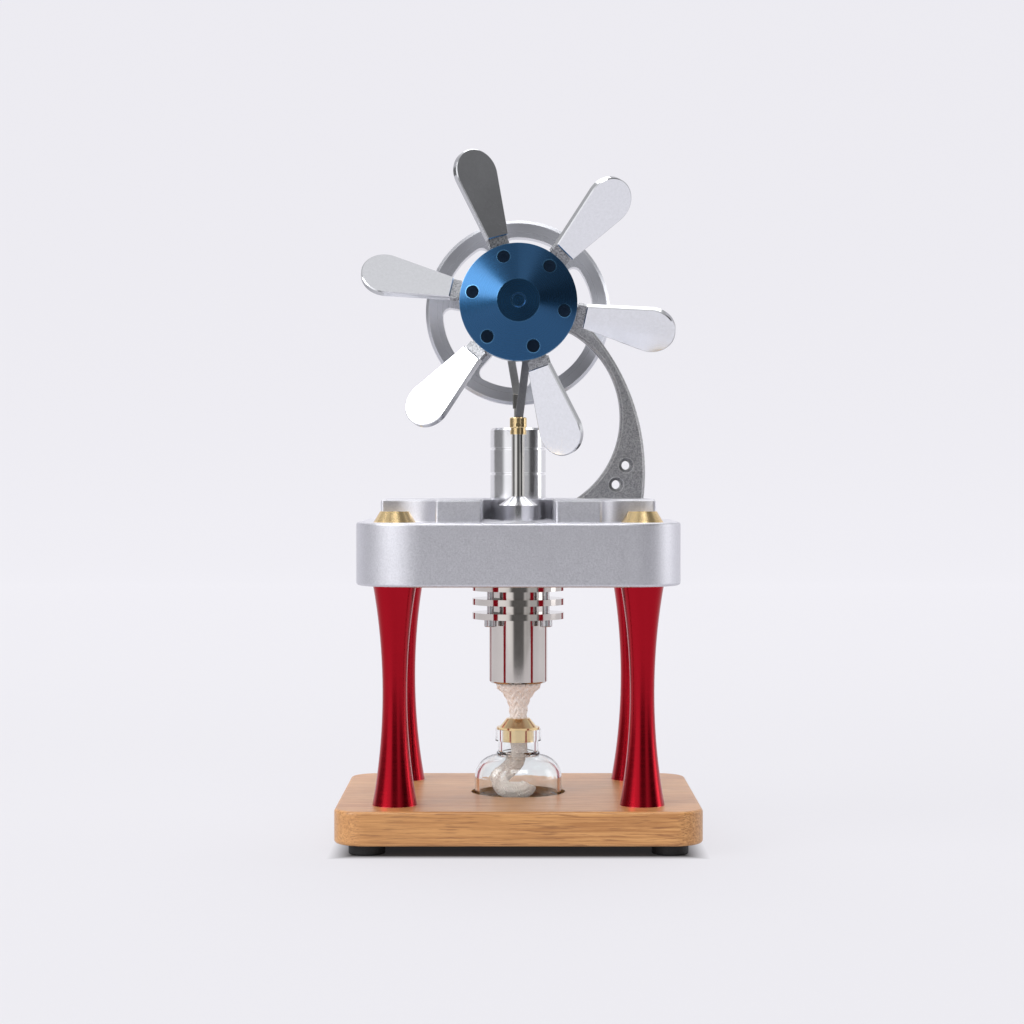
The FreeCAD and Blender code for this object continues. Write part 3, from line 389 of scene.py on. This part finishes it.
def make_materials():
    """Every material slot of the record, by name."""
    # The edge colours passed to blasted and turned_metal below are painted highlights along sharp edges.
    aluminium = (0.80, 0.80, 0.82)
    return {
        "bamboo": bamboo(),
        "black_rubber": black_rubber(),
        "red_anodised": red_anodised(),
        "brass": turned_metal("brass", (0.86, 0.65, 0.35), 0.16, "Z", MIDDLE, 0.3),
        "blasted_aluminium": blasted("blasted_aluminium", (0.57, 0.57, 0.61), (0.72, 0.72, 0.765), 1700,
                                     22 * MICRON, 0.42, (0.92, 0.92, 0.94)),
        "sand_cast_aluminium": blasted("sand_cast_aluminium", (0.19, 0.19, 0.20), (0.54, 0.54, 0.555), 1900,
                                       60 * MICRON, 0.45, (0.85, 0.85, 0.86)),
        "gasket": gasket(),
        "stainless": polished("stainless", (0.60, 0.56, 0.53), 0.07),
        "turned_aluminium": turned_metal("turned_aluminium", aluminium, 0.16, "Z", MIDDLE, 0.4),
        "bronze": turned_metal("bronze", (0.50, 0.33, 0.16), 0.3, "Y", CRANK, 0.3),
        "screw_steel": polished("screw_steel", (0.55, 0.55, 0.56), 0.22),
        "bearing_steel": polished("bearing_steel", (0.60, 0.60, 0.61), 0.12),
        "ground_steel": polished("ground_steel", (0.58, 0.57, 0.55), 0.10),
        "blue_anodised": turned_metal("blue_anodised", (0.018, 0.088, 0.205), 0.25, "Y", CRANK, 0.6,
                                      (0.12, 0.32, 0.55), 160 * MICRON, 1.2 * MICRON, (0.35, 0.22)),
        "satin_aluminium": turned_metal("satin_aluminium", (0.61, 0.62, 0.665), 0.30, "Y", CRANK, 0.5,
                                        (0.88, 0.89, 0.92)),
        "dark_screw": polished("dark_screw", (0.045, 0.085, 0.16), 0.22),
        "polished_aluminium": blade_metal(),
        "dark_rod_metal": blasted("dark_rod_metal", (0.26, 0.26, 0.28), (0.36, 0.36, 0.38), 1500,
                                  10 * MICRON, 0.35, (0.6, 0.6, 0.62)),
        "rod_metal": blasted("rod_metal", (0.36, 0.36, 0.35), (0.48, 0.48, 0.47), 1500,
                             10 * MICRON, 0.35, (0.75, 0.75, 0.74)),
        "graphite": graphite(),
        "clear_glass": clear_glass(),
        "cotton": cotton(),
    }


def dress_nodes(materials):
    """Gives each CAD node the material of its slot."""
    slots = {p["node"]: p["material_slot"] for p in frame["record"]["subparts"]}
    for name, obj in nodes.items():
        material = materials[slots[name]]
        if obj.material_slots:
            for held in obj.material_slots:
                held.material = material
        else:
            obj.data.materials.append(material)


# ---- wick ---------------------------------------------------------------------------
def smooth_route(points, samples):
    """Points along a smooth curve through the route's points (Catmull-Rom)."""
    route = [points[0]] + points + [points[-1]]
    line = []
    for i in range(1, len(route) - 2):
        p0, p1, p2, p3 = (Vector(route[i + k]) for k in (-1, 0, 1, 2))
        for j in range(samples):
            t = j / samples
            line.append(0.5 * ((2 * p1) + (p2 - p0) * t + (2 * p0 - 5 * p1 + 4 * p2 - p3) * t * t
                               + (3 * p1 - p0 - 3 * p2 + p3) * t ** 3))
    line.append(Vector(points[-1]))
    return line


def moving_frames(line):
    """Two directions across a curve at each point, turned as little as possible."""
    side = Vector((1, 0, 0))
    frames = []
    for i, point in enumerate(line):
        ahead = (line[min(i + 1, len(line) - 1)] - line[max(i - 1, 0)]).normalized()
        side = (side - ahead * side.dot(ahead)).normalized()
        frames.append((point, side.copy(), ahead.cross(side)))
    return frames


def tube(bm, line, radius, sides=6):
    """A closed tube along a list of points; its radius is a function of the share of its length."""
    rings = []
    for i, (point, across, over) in enumerate(moving_frames(line)):
        r = radius(i / (len(line) - 1))
        rings.append([bm.verts.new(point + (across * math.cos(a) + over * math.sin(a)) * r)
                      for a in (2 * math.pi * k / sides for k in range(sides))])
    for low, high in zip(rings, rings[1:]):
        for k in range(sides):
            bm.faces.new((low[k], low[(k + 1) % sides], high[(k + 1) % sides], high[k]))
    bm.faces.new(rings[0][::-1])
    bm.faces.new(rings[-1])


def braid(name, line, radius, yarns, turns, yarn_r):
    """A braided sleeve: yarns wound both ways over a core, each passing over and under the others."""
    core_share, core_sides = 0.88, 20
    sink, weave = 1.2 * yarn_r, 0.55 * yarn_r
    frames = moving_frames(line)
    count = len(frames)
    bm = bmesh.new()
    tube(bm, line, lambda t: radius(t) * core_share, core_sides)
    for k in range(yarns):
        for hand in (-1, 1):
            path = []
            for i, (point, across, over) in enumerate(frames):
                t = i / (count - 1)
                angle = 2 * math.pi * (k / yarns + hand * turns * t)
                lift = math.cos(angle * yarns / 2 + (math.pi if hand > 0 else 0)) * weave
                r = radius(t) - sink + lift
                path.append(point + (across * math.cos(angle) + over * math.sin(angle)) * r)
            tube(bm, path, lambda t: yarn_r * (0.85 + 0.25 * radius(t) / radius(0)))
    mesh = bpy.data.meshes.new(name)
    bm.to_mesh(mesh)
    bm.free()
    for face in mesh.polygons:
        face.use_smooth = True
    obj = bpy.data.objects.new(name, mesh)
    bpy.context.scene.collection.objects.link(obj)
    return obj


def make_tuft(bottom, top, rim_r):
    """The wick above its collar, which flares out to the rim under the hot cap."""
    thin = 3.05 * MM
    yarns, turns, yarn_r, steps = 13, 0.34, 0.48 * MM, 60
    flare = ((0.0, thin), (0.38, thin + 0.45 * MM), (0.60, thin + 1.6 * MM), (0.75, thin + 2.8 * MM),
             (0.90, rim_r - 0.4 * MM), (1.0, rim_r))       # share of the height, radius

    def radius(t):
        for (t0, r0), (t1, r1) in zip(flare, flare[1:]):
            if t <= t1:
                return r0 + (r1 - r0) * (t - t0) / (t1 - t0)
        return rim_r

    line = [Vector((0, 0, bottom + (top - bottom) * i / steps)) for i in range(steps + 1)]
    return braid("wick_tuft", line, radius, yarns, turns, yarn_r)


def make_tail(collar_low, collar_top, floor_z):
    """The wick inside the bottle: down from the collar, to the left, and along the floor."""
    radius = 2.95 * MM
    yarns, turns, yarn_r, steps = 11, 4.6, 0.46 * MM, 20
    z = floor_z + radius
    route = [(0, 0, collar_top), (0, 0, collar_low + 1 * MM), (0.4 * MM, 0, collar_low - 4 * MM),
             (-0.8 * MM, 0.5 * MM, collar_low - 8 * MM), (-5.2 * MM, 1.0 * MM, collar_low - 12 * MM),
             (-7.2 * MM, -1.0 * MM, z + 4.4 * MM), (-5.4 * MM, -4.4 * MM, z + 0.8 * MM),
             (-1.0 * MM, -6.2 * MM, z), (2.6 * MM, -6.4 * MM, z + 0.7 * MM),
             (3.6 * MM, -6.2 * MM, z + 2.2 * MM)]
    return braid("wick_tail", smooth_route(route, steps), lambda t: radius, yarns, turns, yarn_r)


def make_wick(cotton_material):
    """Braided tuft and tail in place of the plain wick."""
    low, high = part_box("wick")
    collar_low, collar_top = (corner.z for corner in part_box("lamp_collar"))
    top = high.z - 0.1 * MM
    tuft = make_tuft(collar_top, top, high.x - 0.05 * MM)
    tail = make_tail(collar_low, collar_top, low.z)
    for piece in (tuft, tail):
        piece.data.materials.append(cotton_material)
        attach(piece, "burner")
        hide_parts("wick")
    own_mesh(tuft)


# ---- floor, lights and room ----------------------------------------------------------
def make_paper(board_x, board_y):
    """Pale paper that gives off an even light, with a painted shadow under a board of these half sizes."""
    s = Shader("studio_paper", (0.09, 0.09, 0.092), roughness=0.9, Emission_Color=(0.975, 0.963, 1.02, 1))
    outward = s.vector("ABSOLUTE", s.scaled((1 / board_x, 1 / board_y, 0)))
    reach = s.math("MAXIMUM", s.component(outward, "X"), s.component(outward, "Y"))
    # Painted shadow: the glow drops to a small share under the board and fades back to full outside it.
    painted_shadow = s.span(reach, SHADE_INNER, SHADE_EDGE, SHADE_DARK, SHADE_MID)
    painted_shadow_fade = s.span(reach, SHADE_EDGE, SHADE_END, SHADE_MID, 1.0)
    glow = s.span(s.component(s.place, "Y"), GLOW_NEAR, GLOW_FAR, PAPER_GLOW, BACKDROP_GLOW)
    glow_with_painted_shadow = s.math("MULTIPLY", s.math("MINIMUM", painted_shadow, painted_shadow_fade), glow)
    s.link(glow_with_painted_shadow, s.bsdf.inputs["Emission Strength"])
    return s.material


def make_floor():
    """A floor that curves up into a backdrop far behind."""
    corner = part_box("base_board")[1]
    quarter = [math.pi / 2 * k / BEND_STEPS for k in range(1, BEND_STEPS + 1)]
    profile = [(FLOOR_FRONT, 0.0), (BEND_START, 0.0)]
    profile += [(BEND_START + BEND_R * math.sin(a), BEND_R * (1 - math.cos(a))) for a in quarter]
    profile += [(BEND_START + BEND_R, BACKDROP_TOP)]
    verts = [(x, y, z) for y, z in profile for x in (-HALF_WIDTH, HALF_WIDTH)]
    faces = [(2 * i, 2 * i + 1, 2 * i + 3, 2 * i + 2) for i in range(len(profile) - 1)]
    mesh = bpy.data.meshes.new("floor")
    mesh.from_pydata(verts, [], faces)
    mesh.materials.append(make_paper(corner.x, corner.y))
    for face in mesh.polygons:
        face.use_smooth = True
    floor = bpy.data.objects.new("floor", mesh)
    bpy.context.scene.collection.objects.link(floor)


def make_lights():
    """Rectangular lamps that all face the engine."""
    for name, place, (width, height), watts in LIGHTS:
        data = bpy.data.lights.new(name, "AREA")
        data.shape, data.size, data.size_y = "RECTANGLE", width, height
        data.energy = watts
        lamp = bpy.data.objects.new(name, data)
        lamp.location = place
        aim = Vector(LIGHT_TARGET) - Vector(place)
        lamp.rotation_euler = aim.to_track_quat("-Z", "Y").to_euler()
        bpy.context.scene.collection.objects.link(lamp)


def towards(turn, rise):
    """Direction at an angle right of the front (-Y) and an angle above the floor, in degrees."""
    a, b = math.radians(turn), math.radians(rise)
    return (math.sin(a) * math.cos(b), -math.cos(a) * math.cos(b), math.sin(b))


def make_world():
    """Grey surroundings with soft bright and dark patches for the metals to mirror."""
    world = bpy.data.worlds.new("studio")
    bpy.context.scene.world = world
    world.use_nodes = True
    tree = world.node_tree
    direction = tree.nodes.new("ShaderNodeTexCoord").outputs["Generated"]
    level = tree.nodes.new("ShaderNodeValue")
    level.outputs[0].default_value = ROOM_GREY
    total = level.outputs[0]
    for turn, rise, inner, outer, grey in ROOM_PATCHES:
        dot = tree.nodes.new("ShaderNodeVectorMath")
        dot.operation = "DOT_PRODUCT"
        tree.links.new(direction, dot.inputs[0])
        dot.inputs[1].default_value = towards(turn, rise)
        inside = tree.nodes.new("ShaderNodeMapRange")
        inside.interpolation_type = "SMOOTHSTEP"
        inside.inputs["From Min"].default_value = math.cos(math.radians(outer))
        inside.inputs["From Max"].default_value = math.cos(math.radians(inner))
        tree.links.new(dot.outputs["Value"], inside.inputs["Value"])
        blend = tree.nodes.new("ShaderNodeMix")
        tree.links.new(inside.outputs["Result"], blend.inputs[0])
        tree.links.new(total, blend.inputs[2])
        blend.inputs[3].default_value = grey
        total = blend.outputs[0]
    back = tree.nodes["Background"]
    back.inputs["Color"].default_value = ROOM_TINT
    tree.links.new(total, back.inputs["Strength"])


def main():
    make_camera()
    materials = make_materials()
    dress_nodes(materials)
    make_wick(materials["cotton"])
    make_floor()
    make_world()
    make_lights()
    bpy.context.scene.view_settings.view_transform = "Standard"


main()
